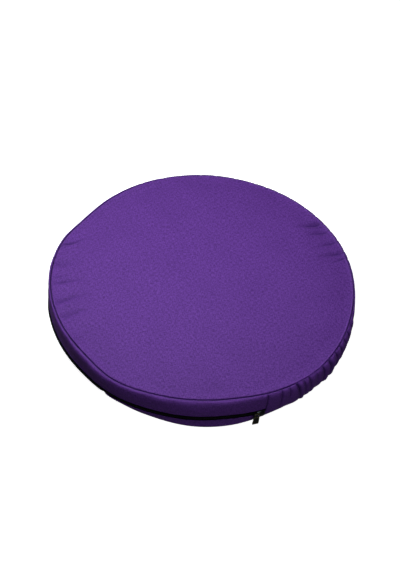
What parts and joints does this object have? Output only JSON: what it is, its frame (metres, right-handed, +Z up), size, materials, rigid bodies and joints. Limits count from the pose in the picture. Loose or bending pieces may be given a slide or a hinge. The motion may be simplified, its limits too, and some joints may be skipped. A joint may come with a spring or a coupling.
{
  "type": "round floor cushion",
  "caption": "Round boxed floor cushion with a nearly flat top, a zipped side band and a gathered stretch of band, for sitting on.",
  "frame": {"origin": "centre of the underside, on the surface that the cushion lies on", "axes": "+Z up through the cushion, -Y towards the front with the zip, +X to the right"},
  "size_m": [0.4045, 0.4056, 0.0534],
  "materials": {
    "cushion_cloth": "plain woven cotton blend, matt with a faint sheen",
    "upper_strip_cloth": "the same plain woven cloth",
    "lower_strip_cloth": "the same plain woven cloth",
    "band_cloth": "the same plain woven cloth, gathered",
    "zip_black": "black nylon coil on a woven black tape",
    "slider_black": "gloss black enamel",
    "pull_black": "gloss black enamel"
  },
  "bodies": {
    "root": {"cushion_pad": "cushion_cloth", "zip_strip_upper": "upper_strip_cloth", "zip_strip_lower": "lower_strip_cloth", "gathered_band": "band_cloth", "zip_chain": "zip_black", "zip_slider": "slider_black", "zip_pull": "pull_black"}
  },
  "joints": []
}
